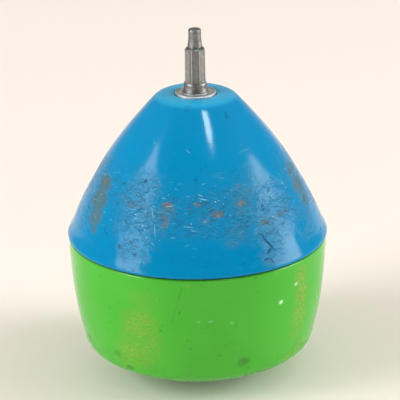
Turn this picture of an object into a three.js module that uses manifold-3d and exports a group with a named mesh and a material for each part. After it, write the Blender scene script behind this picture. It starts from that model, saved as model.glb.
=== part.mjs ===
// Throwing top with a ball-bearing tip, standing on its crown with the steel tip up.
// Millimetres, +Z up along the spin axis, origin at the middle of the crown cap's flat rest face.
import * as THREE from "three";
import { mergeVertices } from "three/addons/utils/BufferGeometryUtils.js";
import Module from "manifold-3d";

// ---------------------------------------------------------------- driving dimensions
const SHELL_SEGMENTS = 40; // facets round the two plastic shells
const SMALL_SEGMENTS = 32; // facets round the bearing, the tip and the fasteners

const BODY_R = 32.0; // widest radius, at the lip of the tip-side shell
const SEAM_Z = 35.6; // joint between the two shells
const SEAM_GAP = 0.36; // open groove between lip and rim
const COLUMN_R = 6.2; // outer radius of the two screw posts

const BEARING_OD = 10.0; // miniature bearing, 5 x 10 x 4
const BEARING_BORE = 5.0;
const BEARING_H = 4.0;
const BEARING_TOP = 71.9; // stands 0.3 proud of the plastic face around it
const BEARING_BOTTOM = BEARING_TOP - BEARING_H;
const PRESS_GAP = 0.02; // radial gap drawn between shank and bore
const POCKET_GAP = 0.03; // radial gap drawn between bearing and plastic
const INNER_LAND_R = 3.1; // inner race, outside
const OUTER_LAND_R = 4.2; // outer race, inside
const BALL_R = 0.7;
const BALL_COUNT = 8;
const PITCH_R = (INNER_LAND_R + OUTER_LAND_R) / 2;
const BALL_RUN = 0.03; // running gap between a ball and its grooves

const TIP_TOP = 87.6; // overall height
const TIP_END_R = 1.53; // blunt running end
const TIP_ROOT_R = 1.74; // the running end widens down to its shoulder
const SHOULDER_TOP = 83.25;
const SHOULDER_BOTTOM = 82.2;
const FLUTED_R = 2.53; // over the eight ridges of the wrench section
const FLUTE_FLOOR_R = 2.2; // at the middle of a flute
const FLUTE_COUNT = 8;
const FLUTE_PHASE = THREE.MathUtils.degToRad(3); // one flute faces -Y, turned this far towards +X
const LEDGE_Z = 74.25; // where the flutes end on the collar
const COLLAR_R = 2.8;
const COLLAR_FOOT_R = 3.05; // sits on the inner race
const SHANK_R = BEARING_BORE / 2 - PRESS_GAP;
const SHANK_END = 60.4;

const CAP_R = 9.65; // crown cap
const SCREW_R = 1.95; // M4
const SCREW_HEAD_R = 3.6;
const SCREW_SEAT_Z = 17.5; // inside the crown post

// ---------------------------------------------------------------- solids
const wasm = await Module();
wasm.setup();

function toSolid(geometry) {
  const g = geometry.clone();
  g.deleteAttribute("normal");
  g.deleteAttribute("uv");
  const m = mergeVertices(g, 1e-4);
  return new wasm.Manifold(
    new wasm.Mesh({
      numProp: 3,
      vertProperties: m.attributes.position.array,
      triVerts: new Uint32Array(m.index.array),
    }),
  );
}

function toGeometry(solid) {
  const m = solid.getMesh();
  const p = new Float32Array(m.numVert * 3);
  for (let i = 0; i < m.numVert; i++)
    p.set(m.vertProperties.subarray(i * m.numProp, i * m.numProp + 3), i * 3);
  const g = new THREE.BufferGeometry();
  g.setAttribute("position", new THREE.BufferAttribute(p, 3));
  g.setIndex(new THREE.BufferAttribute(new Uint32Array(m.triVerts), 1));
  const flat = g.toNonIndexed();
  flat.computeVertexNormals();
  return flat;
}

// Revolves a list of [radius, height] about Z. The list starts and ends on the axis, or is closed here.
function revolve(profile, segments) {
  const points = profile.map(([r, z]) => new THREE.Vector2(r, z));
  const open = profile[0][0] === 0 && profile[profile.length - 1][0] === 0;
  if (!open) points.push(points[0].clone());
  let area = 0;
  for (let i = 0; i < points.length; i++) {
    const a = points[i],
      b = points[(i + 1) % points.length];
    area += a.x * b.y - b.x * a.y;
  }
  if (area < 0) points.reverse();
  const g = new THREE.LatheGeometry(points, segments);
  g.rotateX(Math.PI / 2);
  return g;
}

// A prism of a Shape between two heights.
function prism(shape, z0, z1) {
  const g = new THREE.ExtrudeGeometry(shape, {
    depth: z1 - z0,
    bevelEnabled: false,
    curveSegments: 12,
  });
  g.translate(0, 0, z0);
  return g;
}

function box(sx, sy, sz, x, y, z, turn = 0) {
  const g = new THREE.BoxGeometry(sx, sy, sz);
  g.translate(x, y, z);
  if (turn) g.rotateZ(turn);
  return g;
}

function arc(cr, cz, radius, from, to, steps) {
  const out = [];
  for (let i = 0; i <= steps; i++) {
    const a = THREE.MathUtils.degToRad(from + ((to - from) * i) / steps);
    out.push([cr + radius * Math.cos(a), cz + radius * Math.sin(a)]);
  }
  return out;
}

// ---------------------------------------------------------------- materials
const bluePlastic = new THREE.MeshStandardMaterial({
  color: 0x0d8cc6,
  roughness: 0.28,
  metalness: 0,
});
const greenPlastic = new THREE.MeshStandardMaterial({
  color: 0x4fb53a,
  roughness: 0.3,
  metalness: 0,
});
const tipSteel = new THREE.MeshStandardMaterial({
  color: 0x7c7a74,
  roughness: 0.42,
  metalness: 1,
});
const bearingSteel = new THREE.MeshStandardMaterial({
  color: 0xa8a496,
  roughness: 0.3,
  metalness: 1,
});
const shieldSteel = new THREE.MeshStandardMaterial({
  color: 0xa09a8c,
  roughness: 0.4,
  metalness: 1,
});
const ballSteel = new THREE.MeshStandardMaterial({
  color: 0xd0d0d2,
  roughness: 0.1,
  metalness: 1,
});
const zincSteel = new THREE.MeshStandardMaterial({
  color: 0xb4b6b8,
  roughness: 0.35,
  metalness: 1,
});
const springSteel = new THREE.MeshStandardMaterial({
  color: 0x4c4a48,
  roughness: 0.45,
  metalness: 1,
});
const brass = new THREE.MeshStandardMaterial({
  color: 0xc39a46,
  roughness: 0.35,
  metalness: 1,
});

const top = new THREE.Group();
const fixed = new THREE.Group();
const turning = new THREE.Group();
const caged = new THREE.Group();
top.add(fixed, turning, caged);

function piece(group, name, geometry, material) {
  const mesh = new THREE.Mesh(geometry, material);
  mesh.name = name;
  group.add(mesh);
  return mesh;
}

// ---------------------------------------------------------------- tip-side shell
// An ogive cone, hollow, with a bearing housing at its small end, a post down the middle for the
// crown screw's insert, four ribs, and a spigot that plugs into the crown-side shell.
const LIP_Z = SEAM_Z + SEAM_GAP / 2;
const coneOuter = [
  [BEARING_OD / 2 + POCKET_GAP, 71.0],
  [5.45, 71.42],
  [5.7, 71.6],
  [7.4, 71.5],
  [8.6, 71.34],
  [9.35, 71.05],
  [10.0, 70.62],
  [11.2, 69.39],
  [13.06, 67.27],
  [16.59, 63.05],
  [19.83, 58.82],
  [22.67, 54.6],
  [25.09, 50.38],
  [27.39, 46.15],
  [29.47, 41.93],
  [30.91, 38.45],
  [31.7, 37.0],
  [BODY_R, 36.35],
  [BODY_R - 0.04, 35.98],
  [BODY_R - 0.3, LIP_Z],
];
const coneInner = [
  [29.9, LIP_Z],
  [29.9, 32.9],
  [28.2, 32.9],
  [28.2, 37.2],
  [25.9, 43.2],
  [22.6, 49.4],
  [18.6, 55.4],
  [14.2, 60.9],
  [10.9, 64.4],
  [9.6, 64.9],
  [8.3, 64.6],
  [8.2, 58.6],
  [COLUMN_R, 55.2],
  [COLUMN_R, SEAM_Z + 0.1],
  [2.82, SEAM_Z + 0.1],
  [2.82, 44.6],
  [2.25, 45.1],
  [2.25, 52.2],
  [0, 53.4],
];
const bearingPocket = [
  [0, 57.2],
  [3.3, 57.2],
  [4.05, 58.0],
  [4.05, BEARING_BOTTOM - 0.02],
  [BEARING_OD / 2 + POCKET_GAP, BEARING_BOTTOM - 0.02],
];
const coneProfile = [
  ...bearingPocket,
  ...coneOuter,
  ...coneInner,
];
let cone = toSolid(revolve(coneProfile, SHELL_SEGMENTS));
// Ribs: a disc as thin as a rib, trimmed to the hollow between the post and the wall.
const coneHollow = revolve(
  [
    [COLUMN_R - 0.4, 40.0],
    [27.7, 40.0],
    [27.6, 41.0],
    [26.6, 43.2],
    [23.3, 49.4],
    [19.3, 55.4],
    [14.9, 60.9],
    [11.2, 65.0],
    [COLUMN_R - 0.4, 65.0],
  ],
  SHELL_SEGMENTS,
);
const crossBlank = toSolid(box(60, 1.6, 40, 0, 0, 55, Math.PI / 4)).add(
  toSolid(box(60, 1.6, 40, 0, 0, 55, (3 * Math.PI) / 4)),
);
cone = cone.add(crossBlank.intersect(toSolid(coneHollow)));
piece(fixed, "tip_side_shell", toGeometry(cone), bluePlastic);

// ---------------------------------------------------------------- crown-side shell
const RIM_Z = SEAM_Z - SEAM_GAP / 2;
const bowlProfile = [
  [2.25, SEAM_Z + 0.06],
  [COLUMN_R, SEAM_Z + 0.06],
  [COLUMN_R, 5.6],
  [7.4, 4.7],
  [13.5, 4.7],
  [17.0, 5.7],
  [20.5, 7.1],
  [24.0, 9.1],
  [26.0, 11.6],
  [27.2, 15.5],
  [28.1, 21.0],
  [28.7, 27.0],
  [29.0, 32.5],
  [29.98, 32.5],
  [29.98, RIM_Z],
  [31.5, RIM_Z],
  [31.74, RIM_Z - 0.22],
  [31.66, 32.6],
  [31.42, 28.5],
  [31.1, 24.0],
  [30.4, 18.7],
  [29.6, 14.5],
  [28.74, 10.8],
  [28.32, 9.3],
  [27.72, 8.2],
  [26.6, 7.2],
  [25.1, 6.3],
  [20.5, 4.1],
  [17.0, 2.75],
  [13.5, 1.6],
  [10.05, 0.6],
  [9.85, 0.72],
  [9.75, 1.0],
  [9.75, 2.1],
  [4.32, 2.1],
  [4.32, SCREW_SEAT_Z],
  [2.25, SCREW_SEAT_Z],
];
let bowl = toSolid(revolve(bowlProfile, SHELL_SEGMENTS));
const bowlHollow = revolve(
  [
    [COLUMN_R - 0.4, 4.0],
    [14.0, 4.0],
    [20.5, 6.6],
    [24.5, 8.8],
    [26.6, 11.6],
    [27.9, 15.5],
    [28.6, 20.0],
    [28.8, 24.0],
    [COLUMN_R - 0.4, 24.0],
  ],
  SHELL_SEGMENTS,
);
const lowCross = toSolid(box(60, 1.6, 30, 0, 0, 15, Math.PI / 4)).add(
  toSolid(box(60, 1.6, 30, 0, 0, 15, (3 * Math.PI) / 4)),
);
const lowRibs = lowCross.intersect(toSolid(bowlHollow));
bowl = bowl.add(lowRibs);
piece(fixed, "crown_side_shell", toGeometry(bowl), greenPlastic);

// ---------------------------------------------------------------- crown cap
// A flat round plug that covers the screw. Its face is what the top stands on.
piece(
  fixed,
  "crown_cap",
  revolve(
    [
      [0, 0],
      [9.0, 0],
      [9.4, 0.1],
      [9.6, 0.36],
      [CAP_R, 0.8],
      [CAP_R, 2.05],
      [4.26, 2.05],
      [4.26, 6.6],
      [4.0, 7.0],
      [3.0, 7.0],
      [3.0, 2.05],
      [0, 2.05],
    ],
    SMALL_SEGMENTS,
  ),
  greenPlastic,
);

// ---------------------------------------------------------------- crown screw, washer, insert
piece(
  fixed,
  "screw_washer",
  revolve(
    [
      [2.15, SCREW_SEAT_Z - 0.62],
      [4.1, SCREW_SEAT_Z - 0.62],
      [4.2, SCREW_SEAT_Z - 0.5],
      [4.2, SCREW_SEAT_Z - 0.02],
      [2.15, SCREW_SEAT_Z - 0.02],
    ],
    SMALL_SEGMENTS,
  ),
  zincSteel,
);
const HEAD_TOP = SCREW_SEAT_Z - 0.64;
let screw = toSolid(
  revolve(
    [
      [0, HEAD_TOP - 2.6],
      [2.2, HEAD_TOP - 2.5],
      [3.1, HEAD_TOP - 2.1],
      [SCREW_HEAD_R, HEAD_TOP - 1.3],
      [SCREW_HEAD_R, HEAD_TOP],
      [SCREW_R, HEAD_TOP],
      [SCREW_R, 42.8],
      [1.5, 43.4],
      [0, 43.4],
    ],
    24,
  ),
);
screw = screw
  .subtract(toSolid(box(3.6, 0.7, 3.2, 0, 0, HEAD_TOP - 2.6)))
  .subtract(toSolid(box(0.7, 3.6, 3.2, 0, 0, HEAD_TOP - 2.6)));
piece(fixed, "crown_screw", toGeometry(screw), zincSteel);
piece(
  fixed,
  "threaded_insert",
  revolve(
    [
      [2.0, 36.1],
      [2.77, 36.1],
      [2.77, 38.1],
      [2.5, 38.4],
      [2.5, 39.2],
      [2.77, 39.5],
      [2.77, 41.3],
      [2.5, 41.6],
      [2.5, 42.4],
      [2.77, 42.7],
      [2.77, 44.4],
      [2.0, 44.4],
    ],
    24,
  ),
  brass,
);

// ---------------------------------------------------------------- ball bearing
const B0 = BEARING_BOTTOM,
  B1 = BEARING_TOP,
  BM = (B0 + B1) / 2;
const grooveR = BALL_R + BALL_RUN;
const outerGroove = arc(PITCH_R, BM, grooveR + 0.02, -40, 40, 4);
piece(
  fixed,
  "bearing_outer_race",
  revolve(
    [
      [OUTER_LAND_R, BM - 1.2],
      [4.5, BM - 1.35],
      [4.5, B0 + 0.1],
      [4.6, B0],
      [4.82, B0],
      [BEARING_OD / 2, B0 + 0.18],
      [BEARING_OD / 2, B1 - 0.18],
      [4.95, B1 - 0.05],
      [4.82, B1],
      [4.6, B1],
      [4.5, B1 - 0.1],
      [4.5, BM + 1.35],
      [OUTER_LAND_R, BM + 1.2],
      [OUTER_LAND_R, outerGroove[4][1]],
      ...outerGroove.slice().reverse(),
      [OUTER_LAND_R, outerGroove[0][1]],
    ],
    SMALL_SEGMENTS,
  ),
  bearingSteel,
);
const innerGroove = arc(PITCH_R, BM, grooveR, 140, 220, 4);
piece(
  turning,
  "bearing_inner_race",
  revolve(
    [
      [BEARING_BORE / 2, B0 + 0.12],
      [BEARING_BORE / 2 + 0.12, B0],
      [INNER_LAND_R - 0.08, B0],
      [INNER_LAND_R, B0 + 0.08],
      [INNER_LAND_R, innerGroove[4][1]],
      ...innerGroove.slice().reverse(),
      [INNER_LAND_R, innerGroove[0][1]],
      [INNER_LAND_R, B1 - 0.08],
      [INNER_LAND_R - 0.08, B1],
      [BEARING_BORE / 2 + 0.12, B1],
      [BEARING_BORE / 2, B1 - 0.12],
    ],
    SMALL_SEGMENTS,
  ),
  bearingSteel,
);
function shield(z0, z1, dish) {
  return revolve(
    [
      [3.2, z0 + dish],
      [3.55, z0],
      [4.3, z0],
      [4.46, z0 + dish],
      [4.46, z1 + dish],
      [4.3, z1],
      [3.55, z1],
      [3.2, z1 + dish],
    ],
    SMALL_SEGMENTS,
  );
}
piece(fixed, "bearing_shield_top", shield(B1 - 0.36, B1 - 0.12, -0.08), shieldSteel);
piece(
  fixed,
  "bearing_shield_bottom",
  shield(B0 + 0.12, B0 + 0.36, 0.08),
  shieldSteel,
);
// Balls, and the cage that spaces them. The cage is a ring with one round pocket for each ball.
const ballAngle = (i) => (i * 2 * Math.PI) / BALL_COUNT;
let cage = toSolid(
  revolve(
    [
      [3.32, BM - 1.05],
      [3.98, BM - 1.05],
      [3.98, BM + 1.05],
      [3.32, BM + 1.05],
    ],
    SMALL_SEGMENTS,
  ),
);
for (let i = 0; i < BALL_COUNT; i++) {
  const pocket = new THREE.CylinderGeometry(BALL_R + 0.08, BALL_R + 0.08, 1.6, 12);
  pocket.rotateZ(Math.PI / 2);
  pocket.translate(PITCH_R, 0, BM);
  pocket.rotateZ(ballAngle(i));
  cage = cage.subtract(toSolid(pocket));
}
piece(caged, "bearing_cage", toGeometry(cage), springSteel);
for (let i = 0; i < BALL_COUNT; i++) {
  const ball = new THREE.SphereGeometry(BALL_R, 10, 7);
  ball.rotateX(Math.PI / 2);
  const mesh = piece(caged, "bearing_ball_" + (i + 1), ball, ballSteel);
  mesh.position.set(PITCH_R * Math.cos(ballAngle(i)), PITCH_R * Math.sin(ballAngle(i)), BM);
}

// ---------------------------------------------------------------- spinning tip
// Turned steel: blunt running end, eight-fluted wrench section, collar, and a shank through the bearing.
let tip = toSolid(
  revolve(
    [
      [0, SHANK_END],
      [2.0, SHANK_END],
      [2.42, SHANK_END + 0.45],
      [2.42, 66.82],
      [2.1, 66.82],
      [2.1, 67.48],
      [SHANK_R, 67.48],
      [SHANK_R, BEARING_TOP + 0.03],
      [COLLAR_FOOT_R, BEARING_TOP + 0.03],
      [COLLAR_FOOT_R, 72.25],
      [2.9, 72.75],
      [COLLAR_R, 73.1],
      [COLLAR_R, 73.9],
      [FLUTED_R, 74.7],
      [FLUTED_R, SHOULDER_BOTTOM],
      [2.3, 82.62],
      [TIP_ROOT_R + 0.12, SHOULDER_TOP - 0.22],
      [TIP_ROOT_R, SHOULDER_TOP],
      [1.6, 84.6],
      [TIP_END_R, 85.6],
      [TIP_END_R, TIP_TOP - 0.42],
      [TIP_END_R - 0.12, TIP_TOP - 0.14],
      [TIP_END_R - 0.42, TIP_TOP - 0.03],
      [0, TIP_TOP],
    ],
    SMALL_SEGMENTS,
  ),
);
const fluted = new THREE.Shape();
for (let i = 0; i < FLUTE_COUNT; i++) {
  for (let j = 0; j < 4; j++) {
    const t = (i + j / 4) / FLUTE_COUNT; // j = 0 is a ridge, j = 2 is the middle of a flute
    const a = -Math.PI / 2 + FLUTE_PHASE + (t - 0.5 / FLUTE_COUNT) * 2 * Math.PI;
    const r = [FLUTED_R + 0.01, 2.26, FLUTE_FLOOR_R, 2.26][j];
    const x = r * Math.cos(a),
      y = r * Math.sin(a);
    if (i + j === 0) fluted.moveTo(x, y);
    else fluted.lineTo(x, y);
  }
}
fluted.closePath();
const sleeve = toSolid(
  revolve(
    [
      [0, LEDGE_Z],
      [4, LEDGE_Z],
      [4, SHOULDER_TOP],
      [0, SHOULDER_TOP],
    ],
    SMALL_SEGMENTS,
  ),
).subtract(toSolid(prism(fluted, LEDGE_Z - 1, SHOULDER_TOP + 1)));
tip = tip.subtract(sleeve);
piece(turning, "spinning_tip", toGeometry(tip), tipSteel);

// Shim and snap ring hold the tip in the inner race from below.
piece(
  turning,
  "shim_washer",
  revolve(
    [
      [BEARING_BORE / 2 + 0.03, 67.52],
      [3.3, 67.52],
      [3.3, BEARING_BOTTOM - 0.03],
      [BEARING_BORE / 2 + 0.03, BEARING_BOTTOM - 0.03],
    ],
    SMALL_SEGMENTS,
  ),
  zincSteel,
);
const ring = new THREE.Shape();
const OPEN = THREE.MathUtils.degToRad(28);
ring.absarc(0, 0, 3.45, OPEN, 2 * Math.PI - OPEN, false);
ring.absarc(0, 0, 2.16, 2 * Math.PI - OPEN * 1.35, OPEN * 1.35, true);
ring.closePath();
piece(turning, "snap_ring", prism(ring, 66.88, 67.46), springSteel);

export default top;
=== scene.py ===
import math


import bmesh
import bpy
import numpy as np
from mathutils import Matrix, Quaternion, Vector


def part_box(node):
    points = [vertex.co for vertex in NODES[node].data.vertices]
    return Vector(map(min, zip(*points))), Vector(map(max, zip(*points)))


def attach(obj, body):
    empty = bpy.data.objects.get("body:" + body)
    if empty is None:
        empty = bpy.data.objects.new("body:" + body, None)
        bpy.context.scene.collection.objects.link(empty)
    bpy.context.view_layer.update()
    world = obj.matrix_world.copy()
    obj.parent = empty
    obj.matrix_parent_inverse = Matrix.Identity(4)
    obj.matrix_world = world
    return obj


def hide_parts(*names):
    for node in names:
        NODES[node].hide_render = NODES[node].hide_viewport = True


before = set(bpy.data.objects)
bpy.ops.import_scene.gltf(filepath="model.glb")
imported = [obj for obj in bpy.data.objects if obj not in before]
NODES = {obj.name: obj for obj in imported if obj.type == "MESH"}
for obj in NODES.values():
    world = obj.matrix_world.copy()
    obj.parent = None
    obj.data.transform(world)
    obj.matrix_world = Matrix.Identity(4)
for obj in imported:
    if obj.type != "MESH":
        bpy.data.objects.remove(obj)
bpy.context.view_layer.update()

scene = bpy.context.scene
scene.view_settings.view_transform = "Standard"
scene.view_settings.look = "None"
scene.view_settings.exposure = 0.0
scene.view_settings.gamma = 1.0

MM = 0.001
lo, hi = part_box("tip_side_shell")
BODY_R = hi.x / MM  # 32
SEAM_Z = 35.6
tip_lo, tip_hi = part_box("spinning_tip")
TIP_TOP = tip_hi.z / MM
b_lo, b_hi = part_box("bearing_outer_race")
B0, B1 = b_lo.z / MM, b_hi.z / MM
BM = (B0 + B1) / 2

# ------------------------------------------------------------------ mesh helpers
def smoothstep(a, b, x):
    t = np.clip((x - a) / (b - a), 0, 1)
    return t * t * (3 - 2 * t)


def curve_through(points, step, tension=0.5):
    """Points on a smooth centripetal curve through a list of [r, z]."""
    p = np.array(points, float)
    p = np.vstack([2 * p[0] - p[1], p, 2 * p[-1] - p[-2]])
    out = []
    for i in range(1, len(p) - 2):
        a, b, c, d = p[i - 1], p[i], p[i + 1], p[i + 2]
        t0, t1 = 0.0, max(np.linalg.norm(b - a), 1e-9) ** tension
        t2 = t1 + max(np.linalg.norm(c - b), 1e-9) ** tension
        t3 = t2 + max(np.linalg.norm(d - c), 1e-9) ** tension
        n = max(1, int(round(np.linalg.norm(c - b) / step)))
        for k in range(n):
            t = t1 + (t2 - t1) * k / n
            a1 = (t1 - t) / (t1 - t0) * a + (t - t0) / (t1 - t0) * b
            a2 = (t2 - t) / (t2 - t1) * b + (t - t1) / (t2 - t1) * c
            a3 = (t3 - t) / (t3 - t2) * c + (t - t2) / (t3 - t2) * d
            b1 = (t2 - t) / (t2 - t0) * a1 + (t - t0) / (t2 - t0) * a2
            b2 = (t3 - t) / (t3 - t1) * a2 + (t - t1) / (t3 - t1) * a3
            out.append((t2 - t) / (t2 - t1) * b1 + (t - t1) / (t2 - t1) * b2)
    out.append(p[-2])
    return [list(q) for q in out]


def fillet(points, radii, steps=4):
    """A closed or open [r, z] outline with each corner rounded to its radius (0 keeps it sharp)."""
    p = [np.array(q, float) for q in points]
    n = len(p)
    out = []
    for i in range(n):
        r = radii[i] if hasattr(radii, "__len__") else radii
        if r <= 0 or i == 0 or i == n - 1:
            out.append(p[i])
            continue
        a, b, c = p[i - 1], p[i], p[i + 1]
        u, v = a - b, c - b
        lu, lv = np.linalg.norm(u), np.linalg.norm(v)
        u, v = u / lu, v / lv
        cosang = float(np.clip(u @ v, -1, 1))
        half = math.acos(cosang) / 2
        if half > math.pi / 2 - 0.03:
            out.append(b)
            continue
        t = min(r / math.tan(half), 0.49 * lu, 0.49 * lv)
        rr = t * math.tan(half)
        centre = b + (u + v) / np.linalg.norm(u + v) * (rr / math.sin(half))
        s, e = b + u * t - centre, b + v * t - centre
        a0, a1 = math.atan2(s[1], s[0]), math.atan2(e[1], e[0])
        d = (a1 - a0 + math.pi) % (2 * math.pi) - math.pi
        for k in range(steps + 1):
            w = a0 + d * k / steps
            out.append(centre + rr * np.array([math.cos(w), math.sin(w)]))
    return [list(q) for q in out]


def densify(points, step):
    out = []
    for a, b in zip(points[:-1], points[1:]):
        a, b = np.array(a, float), np.array(b, float)
        n = max(1, int(np.linalg.norm(b - a) / step))
        for k in range(n):
            out.append(list(a + (b - a) * k / n))
    out.append(list(points[-1]))
    return out


def signed_area(profile):
    a = np.array(profile, float)
    b = np.roll(a, -1, axis=0)
    return float(np.sum(a[:, 0] * b[:, 1] - b[:, 0] * a[:, 1]))


def lathe(name, profile, segments, displace=None, sharp=35.0):
    """Closed solid of revolution, mm in, metres out. displace(theta, r, z) returns new r, z arrays."""
    prof = [list(map(float, q)) for q in profile]
    closed = not (prof[0][0] < 1e-6 and prof[-1][0] < 1e-6)
    if signed_area(prof) < 0:
        prof.reverse()
    prof = np.array(prof)
    keep = [0]
    for i in range(1, len(prof)):
        if np.linalg.norm(prof[i] - prof[keep[-1]]) > 1e-4:
            keep.append(i)
    prof = prof[keep]
    theta = np.arange(segments) * 2 * math.pi / segments
    rows = len(prof)
    verts, index = [], np.zeros((rows, segments), int)
    R = np.repeat(prof[:, :1], segments, 1)
    Z = np.repeat(prof[:, 1:], segments, 1)
    T = np.repeat(theta[None, :], rows, 0)
    if displace:
        R, Z = displace(T, R, Z)
    count = 0
    for i in range(rows):
        if prof[i, 0] < 1e-6:
            verts.append((0, 0, Z[i, 0]))
            index[i, :] = count
            count += 1
        else:
            for j in range(segments):
                verts.append((R[i, j] * math.cos(theta[j]), R[i, j] * math.sin(theta[j]), Z[i, j]))
            index[i, :] = np.arange(count, count + segments)
            count += segments
    faces = []
    last = rows if closed else rows - 1
    for i in range(last):
        a, b = index[i], index[(i + 1) % rows]
        for j in range(segments):
            k = (j + 1) % segments
            f = [a[j], a[k], b[k], b[j]]
            f = [v for m, v in enumerate(f) if v != f[m - 1]]
            if len(f) >= 3:
                faces.append([int(v) for v in f])
    return mesh_object(name, [tuple(c * MM for c in v) for v in verts], faces, sharp)


def mesh_object(name, verts, faces, sharp=35.0):
    me = bpy.data.meshes.new(name)
    me.from_pydata(verts, [], faces)
    me.validate()
    me.polygons.foreach_set("use_smooth", [True] * len(me.polygons))
    if sharp:
        me.set_sharp_from_angle(angle=math.radians(sharp))
    me.update()
    ob = bpy.data.objects.new(name, me)
    scene.collection.objects.link(ob)
    return ob


def volume(ob):
    bm = bmesh.new()
    bm.from_mesh(ob.data)
    v = bm.calc_volume(signed=True)
    bm.free()
    return v


def face_out(ob):
    if volume(ob) < 0:
        bm = bmesh.new()
        bm.from_mesh(ob.data)
        bmesh.ops.reverse_faces(bm, faces=bm.faces)
        bm.to_mesh(ob.data)
        bm.free()
    return ob


def place(ob, body, slot, material, *replaced):
    ob.data.materials.clear()
    ob.data.materials.append(material)
    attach(ob, body)
    if replaced:
        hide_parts(*replaced)
    return ob


# ------------------------------------------------------------------ smooth noise in plain numpy
def lattice_noise(seed, x, y, period=0):
    """Value noise, smooth, -1 to 1. period makes it wrap in x."""
    rng = np.random.RandomState(seed)
    table = rng.rand(256, 256) * 2 - 1
    xi, yi = np.floor(x).astype(int), np.floor(y).astype(int)
    fx, fy = x - xi, y - yi
    fx, fy = fx * fx * (3 - 2 * fx), fy * fy * (3 - 2 * fy)

    def at(a, b):
        if period:
            a = a % period
        return table[a % 256, b % 256]

    return (at(xi, yi) * (1 - fx) + at(xi + 1, yi) * fx) * (1 - fy) + (
        at(xi, yi + 1) * (1 - fx) + at(xi + 1, yi + 1) * fx
    ) * fy


# ------------------------------------------------------------------ camera
cam_data = bpy.data.cameras.new("camera")
cam_data.sensor_fit = "HORIZONTAL"
cam_data.sensor_width = 36.0
cam_data.lens = 199.0
cam_data.clip_start = 0.02
cam_data.clip_end = 20.0
camera = bpy.data.objects.new("camera", cam_data)
scene.collection.objects.link(camera)
pitch, yaw, roll = math.radians(20.646), math.radians(0.082), math.radians(0.803)
right0 = Vector((math.cos(yaw), -math.sin(yaw), 0))
ahead = Vector((math.cos(pitch) * math.sin(yaw), math.cos(pitch) * math.cos(yaw), -math.sin(pitch)))
up0 = Vector((math.sin(pitch) * math.sin(yaw), math.sin(pitch) * math.cos(yaw), math.cos(pitch)))
right = math.cos(roll) * right0 - math.sin(roll) * up0
up = math.sin(roll) * right0 + math.cos(roll) * up0
m = Matrix.Identity(4)
for row in range(3):
    m[row][0], m[row][1], m[row][2] = right[row], up[row], -ahead[row]
m[0][3], m[1][3], m[2][3] = 0.0, -0.50953, 0.23570
camera.matrix_world = m
scene.camera = camera


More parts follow.
